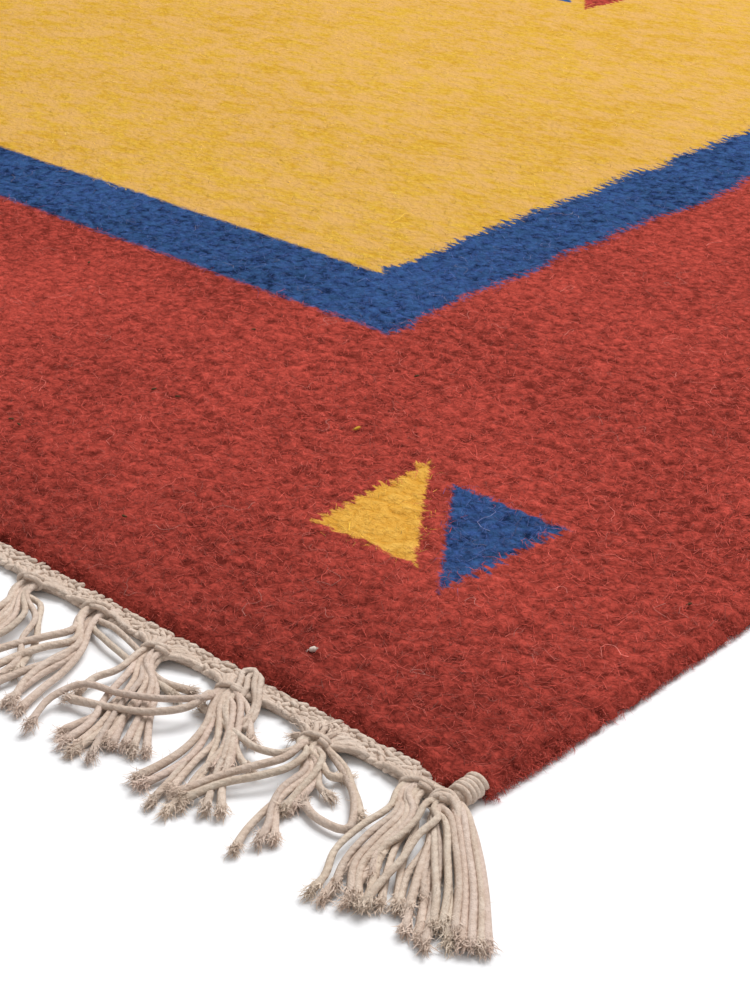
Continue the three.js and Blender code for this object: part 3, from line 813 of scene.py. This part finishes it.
class KILIM_OT_fuzz(bpy.types.Operator):
    """Lays loose wool fibres over the cloth and along its edges"""

    bl_idname = "kilim.fuzz"
    bl_label = "Wool fuzz"

    def execute(self, context):
        settings = context.scene.kilim
        sizes, fuzz, colours = settings.sizes, settings.fuzz, settings.colours
        rng = np.random.default_rng(fuzz.seed)
        half = np.array([in_mm(sizes.width), in_mm(sizes.length)]) / 2 - 3.0
        thickness = in_mm(sizes.thickness)
        dyes = np.array([tuple(colours.red), tuple(colours.blue), tuple(colours.yellow)])
        material = fibre_material()

        def scatter(density, low, high):
            count = int(density * np.prod((high - low) / 10.0))
            return rng.uniform(low, high, (count, 2))

        def lay(name, roots, lengths, lift, steps, curl, pale):
            """Fibres that leave the cloth, bow over and lie down again."""
            count = len(roots)
            heading = rng.normal(0.0, 0.9, count) + np.where(rng.random(count) < 0.5, 0.0, math.pi)
            bend = rng.normal(0.0, curl, count)
            t = np.linspace(0.0, 1.0, steps)[None, :]
            sway = 0.4 * curl * np.sin(7.0 * t + heading[:, None] * 3.0)
            turn = heading[:, None] + bend[:, None] * t + sway
            stride = lengths[:, None] / (steps - 1)
            x = roots[:, :1] + np.cumsum(stride * np.cos(turn), axis=1) - stride * np.cos(turn[:, :1])
            y = roots[:, 1:] + np.cumsum(stride * np.sin(turn), axis=1) - stride * np.sin(turn[:, :1])
            rise = rng.uniform(0.3, 1.0, (count, 1)) * lift * np.sin(math.pi * (0.12 + 0.68 * t))
            z = thickness + relief(x, y, half[0] + 3.0) - 0.25 + rise
            inside = (np.abs(x) < half[0] + 2.0) & (np.abs(y) < half[1] + 2.0)
            keep = inside.all(axis=1)
            dye = dye_at(sizes, *(roots + rng.normal(0.0, 1.7, roots.shape)).T)
            # Painted shade: fibres rooted within 80 mm of an end are darker, like the painted shade of the
            # wool there.
            painted_end_shade = 1.0 - 0.3 * np.clip(1.0 - (half[1] - np.abs(roots[:, 1:])) / 80.0, 0.0, 1.0)
            tones = dyes[dye] * painted_end_shade * rng.uniform(0.45, 2.2, (count, 1))
            tones = tones + pale * rng.uniform(0.0, 1.0, (count, 1)) ** 2 * PALE_WOOL
            paths = np.stack([x, y, z], axis=-1)
            gathered = Gathered()
            widths = in_mm(fuzz.fibre) * rng.uniform(0.7, 1.5, count)
            add_ribbons(gathered, paths[keep], widths[keep], np.clip(tones[keep], 0.0, 1.0))
            settle(gathered.to_piece(name, material), "wool")

        def beside_corner(side):
            return np.array([half[0] - side, -half[1]]), np.array([half[0], -half[1] + side])

        corner = np.array([half[0], -half[1]])
        roots = scatter(fuzz.near, *beside_corner(NEAR_SIDE))
        away = np.abs(roots - corner) @ np.array([0.62, 0.78])
        near = rng.random(len(roots)) < np.clip(1.25 - away / NEAR_REACH, 0.0, 1.0) ** 1.5
        roots = roots[near & (rng.random(len(roots)) < np.array(FIBRE_SHARE)[dye_at(sizes, *roots.T)])]
        lay("wool_fuzz_near", roots, rng.gamma(4.0, 0.75, len(roots)) + 0.8, 1.7, 3, 1.7, 0.14)
        roots = scatter(fuzz.far, -half, half)
        roots = roots[rng.random(len(roots)) < np.array(FIBRE_SHARE)[dye_at(sizes, *roots.T)]]
        lay("wool_fuzz_far", roots, rng.gamma(4.0, 1.2, len(roots)) + 1.5, 1.3, 3, 0.7, 0.04)
        roots = scatter(0.12, -half, half)
        extra = scatter(0.3, *beside_corner(STRAY_SIDE))
        roots = np.concatenate([roots, extra])
        roots = roots[rng.random(len(roots)) < np.array(FIBRE_SHARE)[dye_at(sizes, *roots.T)] ** 0.5]
        lay("wool_stray_fibres", roots, rng.gamma(5.0, 1.7, len(roots)) + 3.0, 1.9, 8, 2.5, 0.42)
        self.edges(sizes, fuzz, rng, dyes[0], material)
        self.lumps(sizes, fuzz, rng, dyes[2], material)
        return {"FINISHED"}

    def lumps(self, sizes, fuzz, rng, yellow, material):
        """A small lump of pale lint, a speck of yellow wool and a few dark flecks caught in the wool."""
        gathered = Gathered()
        # Each from the selvedge and from the end of the wool, then its radius, stretch and tone.
        flecks = [(78.4, 17.9, 0.95, 1.15, LINT_TONE), (166.3, 131.2, 0.6, 2.2, yellow * 1.25)]
        for inset, along in rng.uniform((5.0, 20.0), (480.0, 190.0), (14, 2)):
            if dye_at(sizes, SEEN_CORNER[0] - inset, SEEN_CORNER[1] + along) == 0:
                flecks.append((inset, along, 0.4, 2.4, FLECK_TONE))
        for inset, along, size, stretch, tone in flecks:
            height = in_mm(sizes.thickness) + 0.9
            centre = np.array([SEEN_CORNER[0] - inset, SEEN_CORNER[1] + along, height])
            heading = rng.uniform(0.0, TURN)
            reach = np.sin(np.linspace(-0.5, 0.5, 7) * math.pi)[:, None]
            path = centre + size * stretch * reach * (math.cos(heading), math.sin(heading), 0.0)
            path[:, 2] += relief(path[:, 0], path[:, 1], in_mm(sizes.width) / 2)
            girth = size * np.sqrt(1.02 - reach[:, 0] ** 2) * rng.uniform(0.85, 1.1, 7)
            add_tube(gathered, path, girth, tone, sides=9)
            fluff = round(22 * size)
            root = path[rng.integers(0, 7, fluff)]
            steps = rng.normal(0.0, 0.28 * size, (fluff, 3, 3)).cumsum(axis=1)
            tones = np.clip(tone * rng.uniform(0.85, 1.15, (fluff, 1)), 0.0, 1.0)
            paths = np.concatenate([root[:, None], root[:, None] + steps], axis=1)
            add_ribbons(gathered, paths, in_mm(fuzz.fibre) * rng.uniform(0.8, 1.4, fluff), tones)
        settle(gathered.to_piece("wool_lint", material), "wool")

    def edges(self, sizes, fuzz, rng, red, material):
        """Short fibres that stand out of the rounded edges, more of them beside the seen corner."""
        half_width, half_length = in_mm(sizes.width) / 2, in_mm(sizes.length) / 2
        gathered = Gathered()
        for name, waves, half_run, half_out, count in (
            ("side", SIDE_WAVES, half_length, half_width, 13000),
            ("end", END_WAVES, half_width, half_length, 7000),
        ):
            place = rng.uniform(-half_run, half_run, count)
            seen = rng.random(count) < 0.5
            toward = -1.0 if name == "side" else 1.0
            near = toward * (half_run - rng.uniform(0.0, 1.0, count) ** 1.3 * 650.0)
            place = np.where(seen, near, place)
            sign = np.where(seen | (rng.random(count) < 0.5), -toward, toward)
            extra = tongue(place) if name == "end" else -draw_in(half_length - np.abs(place))
            edge = sign * (half_out + extra + stray(waves, -toward * sign * place))
            share = rng.uniform(0.12, 0.92, count)
            angle = share * math.pi
            height = in_mm(sizes.thickness) * (0.5 + 0.5 * np.cos(angle)) + 0.2
            root = np.stack([edge - sign * RIM_WIDTH * (1.0 - rim_out(share)), place, height], axis=1)
            out = np.stack([sign * np.sin(angle), rng.normal(0.0, 0.9, count), np.cos(angle) * 0.9], axis=1)
            out = unit(out + rng.normal(0.0, 0.25, (count, 3)))
            length = (rng.gamma(3.0, 0.45, count) + 0.5)[:, None]
            tip = root + length * unit(out + rng.normal(0.0, 0.35, (count, 3)))
            paths = np.stack([root - 0.3 * out, root + 0.5 * length * out, tip], axis=1)
            paths = above_floor(paths, FIBRE_LEAST)
            if name == "end":
                paths = paths[..., [1, 0, 2]]
            tones = red * rng.uniform(0.7, 1.9, (count, 1)) + 0.12 * rng.random((count, 1)) ** 2 * PALE_WOOL
            tones = np.clip(tones, 0.0, 1.0)
            add_ribbons(gathered, paths, in_mm(fuzz.fibre) * rng.uniform(0.8, 1.4, count), tones)
        settle(gathered.to_piece("wool_fuzz_edges", material), "wool")


def tassel_knots(sizes):
    """The near end's tassels from right to left: where each knot is, and its strands if they were seen."""
    half_width = in_mm(sizes.width) / 2
    tassels = []
    for seen in reversed(SEEN_TASSELS):
        inset, drop = seen["knot"]
        tassels.append((SEEN_CORNER[0] - inset, SEEN_CORNER[1] - drop, seen))
    start, stop = SEEN_TASSELS[0]["knot"][0], LAST_TASSELS[0][0]
    gaps = round((stop - start) / in_mm(sizes.knot_pitch))
    for k in range(1, gaps):
        x = half_width - (start + (stop - start) * k / gaps) + 2.5 * math.sin(2.3 * k)
        tassels.append((x, -end_reach(sizes, x) - 9.0, None))
    for inset, drop in LAST_TASSELS:
        x = half_width - inset
        tassels.append((x, -end_reach(sizes, x) - drop, None))
    return tassels


BAND_END = 17.0
# Points round the band's base strip: three from its inner edge and three from its outer one, with heights.
BAND_SECTION = ((-0.6, 0.15), (-0.4, 1.6), (1.0, 2.0), (-1.0, 1.9), (0.0, 1.1), (0.0, 0.15))
BAND_ROWS = (0.7, 2.2, 3.7, 5.2, 6.6)  # rows of the cotton weave, from the wool outwards
GRAIN_PITCH = 3.1
CORD_INSET = 5.8
CORD_HEIGHT = 3.5
WHIP_TURNS = 4.6
WHIP_RUN = 7.4
# How finely a strand is made: rings along it, fibres in its frayed end and how wide those are.
SEEN_STRAND = (30, 90, (0.2, 0.45))
PLAIN_STRAND = (9, 7, (0.5, 0.95))
TAIL_FIBRES = 36
STRAND_LINT = 12


def add_tuft(gathered, tip, heading, radius, rng, tone, fibres, widths):
    """The frayed end of a strand: a small soft brush of curled fibres."""
    root = tip + rng.uniform(-0.9, 0.9, (fibres, 3)) * radius - heading * rng.uniform(0.4, 3.6, (fibres, 1))
    out = unit(heading + rng.normal(0.0, 0.36, (fibres, 3)) * (1.0, 1.0, 0.7))
    stride = rng.uniform(0.8, 1.7, (fibres, 1))
    paths = [root]
    for _ in range(3):
        paths.append(paths[-1] + stride * out)
        out = unit(out + rng.normal(0.0, 0.5, (fibres, 3)))
    paths = above_floor(np.stack(paths, axis=1), FIBRE_LEAST)
    add_ribbons(gathered, paths, rng.uniform(*widths, fibres), tone * rng.uniform(1.0, 1.25, (fibres, 1)))


def add_lint(gathered, path, radius, rng, tone, fibres):
    """Fine loose fibres along a strand."""
    root = path[rng.integers(1, len(path) - 1, fibres)]
    out = unit(rng.normal(0.0, 1.0, (fibres, 3)) * (1.0, 1.0, 0.5) + (0.0, 0.0, 0.6))
    length = rng.uniform(1.5, 3.5, (fibres, 1))
    bend = rng.normal(0.0, 0.8, (fibres, 3)) * length
    root = root + radius * 0.7 * out
    paths = np.stack([root, root + 0.5 * length * out, root + 0.7 * length * out + 0.4 * bend], axis=1)
    paths = above_floor(paths, FIBRE_LEAST)
    add_ribbons(gathered, paths, rng.uniform(0.1, 0.18, fibres), np.broadcast_to(tone * 1.1, (fibres, 3)))


class KILIM_OT_fringes(bpy.types.Operator):
    """Knots the warp ends into tassels along both ends"""

    bl_idname = "kilim.fringes"
    bl_label = "Fringes"

    def execute(self, context):
        settings = context.scene.kilim
        cotton = cotton_material(settings.colours)
        for end, half_turn, seed in (("near", False, 11), ("far", True, 23)):
            rng = np.random.default_rng(settings.fuzz.seed + seed)
            gathered = Gathered()
            knots = tassel_knots(settings.sizes)
            for index, (x, y, seen) in enumerate(knots):
                # The outermost tassel hangs on the selvedge cord; the next one has band on one side only.
                last = len(knots) - 1
                sides = {0: (), 1: (-1.0,), last - 1: (1.0,), last: ()}.get(index, (-1.0, 1.0))
                self.tassel(gathered, settings, rng, np.array([x, y]), seen, sides, half_turn)
            settle(gathered.to_piece(f"tassels_{end}", cotton, half_turn), "cotton", f"fringe_{end}")
        return {"FINISHED"}

    def usual_strands(self, rng):
        """Strands of a tassel that is not seen from near: they fan out and lean the same way."""
        lean, spread = rng.uniform(10.0, 26.0), rng.uniform(18.0, 27.0)
        strands = []
        for share in np.linspace(-0.5, 0.5, rng.integers(11, 14)):
            tip = np.array([lean + spread * share + rng.normal(0.0, 2.0), -rng.uniform(39.0, 47.0)])
            mid = tip * (0.38, 0.5) + rng.normal(0.0, 1.6, 2)
            strands.append((rng.uniform(1.0, 3.4), (tuple(mid), tuple(tip))))
        return strands

    def tassel(self, gathered, settings, rng, knot, seen, sides, far):
        radius = in_mm(settings.sizes.strand) / 2
        cotton = np.array(tuple(settings.colours.cotton))
        strands = seen["strands"] if seen else self.usual_strands(rng)
        steps, fibres, widths = SEEN_STRAND if seen and not far else PLAIN_STRAND
        lean = np.mean([way[-1][0] for _, way in strands]) / 45.0
        order = np.argsort(np.argsort([way[0][0] for _, way in strands]))
        width = 1.0 if sides else 0.5
        for rank, (lift, way) in zip(order, strands):
            tone = cotton * rng.uniform(0.9, 1.06) * (1.0 + rng.normal(0.0, 0.012, 3))
            aside = width * (2.0 * rank / (len(strands) - 1) - 1.0)
            rise = rng.uniform(-1.0, 1.0)
            bundle = [
                [knot[0] + 4.6 * aside, knot[1] + 5.4, 1.7],
                [knot[0] + 3.2 * aside, knot[1] + 2.2, 3.0 + 0.5 * rise],
                [knot[0] + 2.6 * aside, knot[1] - 0.3, 3.1 + 0.9 * rise],
                [knot[0] + 2.9 * aside + 1.0 * lean, knot[1] - 3.0, 3.0 + 1.1 * rise],
            ]
            first = knot[1] + way[0][1]
            points = [p for p in bundle if p[1] > first + 2.0]
            for k, (dx, dy) in enumerate(way):
                share = (k + 1) / len(way)
                height = radius + 0.1 + lift * (1.0 - 0.75 * share ** 2)
                points.append([knot[0] + dx, knot[1] + dy, height])
            path = above_floor(smooth_path(points, steps), radius + 0.05)
            flare = 1.0 + 0.35 * np.linspace(0.0, 1.0, steps) ** 9
            flare[-1] = 0.7
            size = radius * rng.uniform(0.92, 1.08) * flare
            add_tube(gathered, path, size, tone, sides=6 if seen else 5)
            add_tuft(gathered, path[-1], unit(path[-1] - path[-2]), radius, rng, tone, fibres, widths)
            if seen and not far:
                add_lint(gathered, path, radius, rng, tone, STRAND_LINT)
        self.wrap(gathered, rng, knot, lean, radius, cotton, width)
        self.gather(gathered, settings.sizes, rng, knot, radius, cotton, sides)
        for way in seen.get("loops", ()) if seen else ():
            path = smooth_path([(knot[0] + dx, knot[1] + dy, z) for dx, dy, z in way], 26)
            add_tube(gathered, path, radius, cotton * rng.uniform(0.94, 1.04), sides=6)
        for way in seen.get("tails", ()) if seen else ():
            path = smooth_path([(knot[0] + dx, knot[1] + dy, z) for dx, dy, z in way], 8)
            add_tube(gathered, path, radius * np.linspace(0.95, 0.8, 8), cotton, sides=6)
            add_tuft(gathered, path[-1], unit(path[-1] - path[-2]), radius, rng, cotton, TAIL_FIBRES, widths)

    def wrap(self, gathered, rng, knot, lean, radius, cotton, width):
        """The turn of the knot round the bundle of strands."""
        axis = unit(np.array([lean, -1.0, 0.0]))
        aside = np.array([-axis[1], axis[0], 0.0])
        turn = np.linspace(0.0, 1.25, 20) * TURN + rng.uniform(-0.5, 0.5)
        along = np.linspace(-1.0, 1.0, len(turn)) * rng.uniform(0.5, 1.3)
        centre = np.array([knot[0], knot[1], 3.3])
        path = centre + along[:, None] * axis + (1.6 + 2.4 * width) * np.cos(turn)[:, None] * aside
        path = path + 2.1 * np.sin(turn)[:, None] * UP
        path = above_floor(path, radius)
        add_tube(gathered, path, radius * 0.85, cotton * rng.uniform(0.94, 1.05), sides=6, reference=axis)

    def gather(self, gathered, sizes, rng, knot, radius, cotton, sides):
        """Warp ends that leave the band on both sides and run along its edge into the knot."""
        for sign in sides:
            for share, offset in ((0.47, 5.6), (0.40, 4.8), (0.31, 4.2), (0.22, 3.6), (0.15, 3.0)):
                reach = share * in_mm(sizes.knot_pitch) * rng.uniform(0.9, 1.1)
                band = -end_reach(sizes, knot[0] + sign * reach)
                points = (
                    (knot[0] + sign * reach, band - offset, 1.2),
                    (knot[0] + sign * reach * 0.72, band - offset - 1.2, 2.6),
                    (knot[0] + sign * reach * 0.36, knot[1] + 1.9, 3.0),
                    (knot[0] + sign * 1.4, knot[1] - 0.6, 3.1 + rng.uniform(-0.8, 0.8)),
                )
                tone = cotton * rng.uniform(0.88, 1.03)
                add_tube(gathered, smooth_path(points, 9), radius, tone, sides=5)


class KILIM_OT_bands(bpy.types.Operator):
    """Weaves the cotton end bands between the wool and the fringes"""

    bl_idname = "kilim.bands"
    bl_label = "End bands"

    def execute(self, context):
        settings = context.scene.kilim
        sizes = settings.sizes
        cotton = np.array(tuple(settings.colours.cotton))
        material = cotton_material(settings.colours)
        limit = in_mm(sizes.width) / 2 - BAND_END
        knots = np.array([knot[0] for knot in tassel_knots(sizes)])
        for end, half_turn, seed in (("near", False, 31), ("far", True, 43)):
            rng = np.random.default_rng(settings.fuzz.seed + seed)
            gathered = Gathered()
            x = np.linspace(-limit, limit, 420)
            away = np.abs(x[:, None] - knots[None, :]).min(axis=1)
            reach = 6.6 + hump(away, 1.6, 6.0)
            section = np.array([[(px, -end_reach(sizes, px) - (off if k < 3 else out + off), z)
                                 for k, (off, z) in enumerate(BAND_SECTION)] for px, out in zip(x, reach)])
            steps, around = section.shape[:2]
            outside = np.roll(ring_quads(steps, around)[:, ::-1], 1, axis=1)
            caps = [np.arange(around)[None, :], ((steps - 1) * around + np.arange(around)[::-1])[None, :]]
            gathered.add(section, [outside, *caps], cotton)
            for number, offset in enumerate(BAND_ROWS):
                self.weave_row(gathered, sizes, rng, cotton, limit, number, offset)
            piece = gathered.to_piece(f"cotton_band_{end}", material, half_turn)
            settle(piece, "cotton", f"end_band_{end}")
        return {"FINISHED"}

    def weave_row(self, gathered, sizes, rng, cotton, limit, number, offset):
        """One row of small humps where cotton passes over cotton, half a step from the row before."""
        x = np.arange(-limit + 1.0 + GRAIN_PITCH * 0.5 * (number % 2), limit - 1.0, GRAIN_PITCH)
        count = len(x)
        x = x + rng.normal(0.0, 0.3, count)
        y = -end_reach(sizes, x) - offset + rng.normal(0.0, 0.22, count)
        centre = np.stack([x, y, 1.95 + rng.normal(0.0, 0.14, count)], axis=1)
        turn = rng.normal(0.45, 0.25, count) * (-1.0) ** number
        along = np.stack([np.cos(turn), np.sin(turn), rng.normal(0.0, 0.12, count)], axis=1)
        aside = np.stack([-np.sin(turn), np.cos(turn), np.zeros(count)], axis=1)
        t = np.array([-1.0, -0.5, 0.5, 1.0])
        size = np.array([0.3, 0.95, 0.95, 0.3])
        around = TURN * np.arange(5) / 5
        half = rng.uniform(1.6, 2.2, count)[:, None, None, None]
        girth = rng.uniform(0.82, 1.08, count)[:, None, None, None]
        ring = np.cos(around)[None, :, None] * aside[:, None] + np.sin(around)[None, :, None] * UP
        points = centre[:, None, None] + half * t[None, :, None, None] * along[:, None, None]
        points = points + girth * size[None, :, None, None] * ring[:, None]
        first = (np.arange(count) * 20)[:, None]
        faces = [first + quad[None, :] for quad in ring_quads(len(t), len(around))]
        faces += [first + np.array([[4, 3, 2, 1, 0]]), first + np.array([[15, 16, 17, 18, 19]])]
        tones = cotton * rng.uniform(0.96, 1.12, (count, 1))
        gathered.add(points, faces, np.repeat(tones, 20, axis=0))


class KILIM_OT_whippings(bpy.types.Operator):
    """Winds cotton round the selvedge cords at the four corners"""

    bl_idname = "kilim.whippings"
    bl_label = "Corner whippings"

    def execute(self, context):
        settings = context.scene.kilim
        sizes = settings.sizes
        cotton = np.array(tuple(settings.colours.cotton))
        material = cotton_material(settings.colours)
        for end, half_turn in (("near", False), ("far", True)):
            for side, sign in (("right", 1.0), ("left", -1.0)):
                gathered = Gathered()
                x = sign * (in_mm(sizes.width) / 2 - CORD_INSET)
                start = -end_reach(sizes, x) + 1.8
                turn = np.linspace(0.0, WHIP_TURNS, 84) * TURN
                run = np.linspace(0.0, -WHIP_RUN, len(turn))
                reach = 2.45 + 0.12 * np.sin(turn * 0.37 + sign)
                wide, high = 1.12 * reach * np.cos(turn), reach * np.sin(turn)
                path = above_floor(np.stack([x + wide, start + run, CORD_HEIGHT + high], axis=1), 0.95)
                add_tube(gathered, path, 0.92, cotton, sides=7, reference=np.array([0.0, 1.0, 0.0]))
                # The cord core inside the wraps is a darker copy of the cotton: painted shade between the
                # turns.
                along = np.linspace(start + 1.0, start - 9.5, 6)
                core = np.stack([np.full(6, x), along, np.full(6, CORD_HEIGHT)], axis=1)
                add_tube(gathered, core, np.array([1.9, 2.2, 2.3, 2.3, 2.3, 1.6]), cotton * 0.8, sides=10)
                name = f"whipping_{end}_{side}"
                settle(gathered.to_piece(f"cord_{name}", material, half_turn), "cotton", name)
        return {"FINISHED"}


class KILIM_OT_stage(bpy.types.Operator):
    """Sets the floor, the soft light and the camera"""

    bl_idname = "kilim.stage"
    bl_label = "Stage"

    def execute(self, context):
        settings = context.scene.kilim
        stage = settings.stage
        scene = context.scene
        bm = bmesh.new()
        bmesh.ops.create_grid(bm, x_segments=1, y_segments=1, size=12.0)
        bmesh.ops.translate(bm, verts=bm.verts, vec=(0.0, 0.0, -0.0002))
        mesh = bpy.data.meshes.new("floor")
        bm.to_mesh(mesh)
        bm.free()
        sketch = NodeSketch("pale_floor")
        sketch.shader.inputs["Base Color"].default_value = rgba(settings.colours.floor)
        sketch.shader.inputs["Roughness"].default_value = 0.7
        sketch.shader.inputs["Specular IOR Level"].default_value = 0.2
        as_piece(mesh, "floor", sketch.material)

        world = bpy.data.worlds.new("soft_surround")
        world.use_nodes = True
        world.node_tree.nodes["Background"].inputs["Color"].default_value = (1.0, 1.0, 1.0, 1.0)
        world.node_tree.nodes["Background"].inputs["Strength"].default_value = stage.fill
        scene.world = world
        light = bpy.data.lights.new("key", "AREA")
        light.shape = "RECTANGLE"
        light.size, light.size_y = 1.6, 1.6
        light.energy = stage.key
        key = bpy.data.objects.new("key", light)
        scene.collection.objects.link(key)
        aim = Matrix.Translation((0.5, 0.3, 2.0)) @ Matrix.Rotation(math.radians(-20.0), 4, "X")
        key.matrix_world = aim @ Matrix.Rotation(math.radians(8.0), 4, "Y")

        yaw, pitch, roll = stage.yaw, stage.pitch, stage.roll
        level = math.cos(pitch)
        ahead = np.array([math.cos(yaw) * level, math.sin(yaw) * level, -math.sin(pitch)])
        right = np.array([math.sin(yaw), -math.cos(yaw), 0.0])
        below = np.cross(ahead, right)
        turned = right * math.cos(roll) + below * math.sin(roll)
        above = right * math.sin(roll) - below * math.cos(roll)
        lens = bpy.data.cameras.new("camera")
        lens.lens = stage.lens
        lens.clip_start = 0.01
        camera = bpy.data.objects.new("camera", lens)
        scene.collection.objects.link(camera)
        axes = Matrix((turned, above, -ahead)).transposed().to_4x4()
        camera.matrix_world = Matrix.Translation(stage.camera) @ axes
        scene.camera = camera
        scene.view_settings.view_transform = "Standard"
        return {"FINISHED"}


class KILIM_PT_panel(bpy.types.Panel):
    bl_idname = "KILIM_PT_panel"
    bl_label = "Kilim rug"
    bl_space_type = "VIEW_3D"
    bl_region_type = "UI"
    bl_category = "Kilim"

    def draw(self, context):
        settings = context.scene.kilim
        for group in (settings.sizes, settings.colours, settings.fuzz, settings.stage):
            box = self.layout.box()
            for name in group.__annotations__:
                box.prop(group, name)
        for operator in OPERATORS:
            self.layout.operator(operator.bl_idname)


OPERATORS = (
    KILIM_OT_stage,
    KILIM_OT_ground,
    KILIM_OT_bands,
    KILIM_OT_fringes,
    KILIM_OT_whippings,
    KILIM_OT_fuzz,
)
CLASSES = (RugSizes, RugColours, RugFuzz, RugStage, RugSettings, *OPERATORS, KILIM_PT_panel)


def register():
    for made in CLASSES:
        bpy.utils.register_class(made)
    bpy.types.Scene.kilim = bpy.props.PointerProperty(type=RugSettings)


def unregister():
    del bpy.types.Scene.kilim
    for made in reversed(CLASSES):
        bpy.utils.unregister_class(made)


def main():
    register()
    for name in ("stage", "ground", "bands", "fringes", "whippings", "fuzz"):
        getattr(bpy.ops.kilim, name)()


if __name__ == "__main__":
    main()
